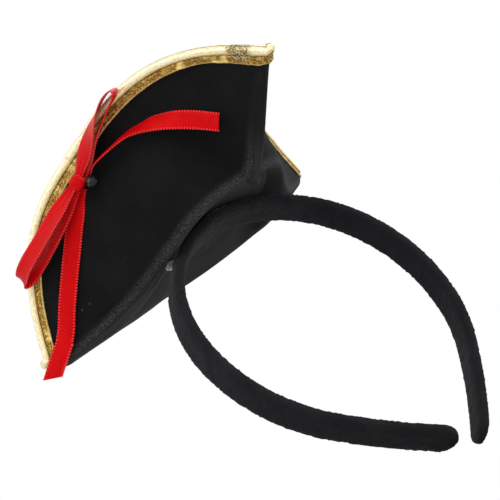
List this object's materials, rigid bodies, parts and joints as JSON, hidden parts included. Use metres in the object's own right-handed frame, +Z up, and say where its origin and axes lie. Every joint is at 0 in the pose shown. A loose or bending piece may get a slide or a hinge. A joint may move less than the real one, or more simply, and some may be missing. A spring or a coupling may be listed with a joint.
{
  "type": "pirate hat headband",
  "caption": "Small three-cornered pirate hat on a flexible velvet-covered hair band, with gold edge binding and a red ribbon bow with a black bead.",
  "frame": {"origin": "head seat: the inner face of the hair band at the middle of its top", "axes": "+Z up as worn, -Y the way the wearer faces, +X the wearer's left"},
  "size_m": [0.1633, 0.1534, 0.1852],
  "materials": {
    "band_velvet": "short-pile black velvet",
    "band_plastic": "matt",
    "hat_velvet": "flat brushed black velvet",
    "stiff_felt": "stiffened felt",
    "gold_cloth": "crinkled metallic gold foil cloth",
    "red_ribbon": "satin ribbon with a woven edge",
    "black_bead": "faceted, glossy",
    "glue": "set hot glue"
  },
  "bodies": {
    "root": {"band_core_centre": "band_plastic", "band_velvet_centre": "band_velvet", "base_felt": "hat_velvet", "glue_pad": "glue", "crown_velvet": "hat_velvet", "crown_former": "stiff_felt", "brim_outer_velvet": "hat_velvet", "brim_stiffener": "stiff_felt", "brim_lining": "hat_velvet", "gold_binding": "gold_cloth", "bow_knot": "red_ribbon", "bow_loop_front": "red_ribbon", "bow_loop_back": "red_ribbon", "bow_tail_front": "red_ribbon", "bow_tail_back": "red_ribbon", "bow_bead": "black_bead"},
    "left_arm": {"band_core_left": "band_plastic", "band_velvet_left": "band_velvet"},
    "right_arm": {"band_core_right": "band_plastic", "band_velvet_right": "band_velvet"}
  },
  "joints": [
    {"name": "left_arm_flex", "type": "hinge", "parent": "root", "child": "left_arm", "pos_m": [0.05736, 0.00426, -0.03584], "axis": [0.0196, -0.9982, -0.0558], "range_deg": [0, 12], "stiffness_Nm_per_rad": 0.75},
    {"name": "right_arm_flex", "type": "hinge", "parent": "root", "child": "right_arm", "pos_m": [-0.05736, -0.00426, -0.03584], "axis": [-0.0196, 0.9982, -0.0558], "range_deg": [0, 12], "stiffness_Nm_per_rad": 0.75}
  ]
}
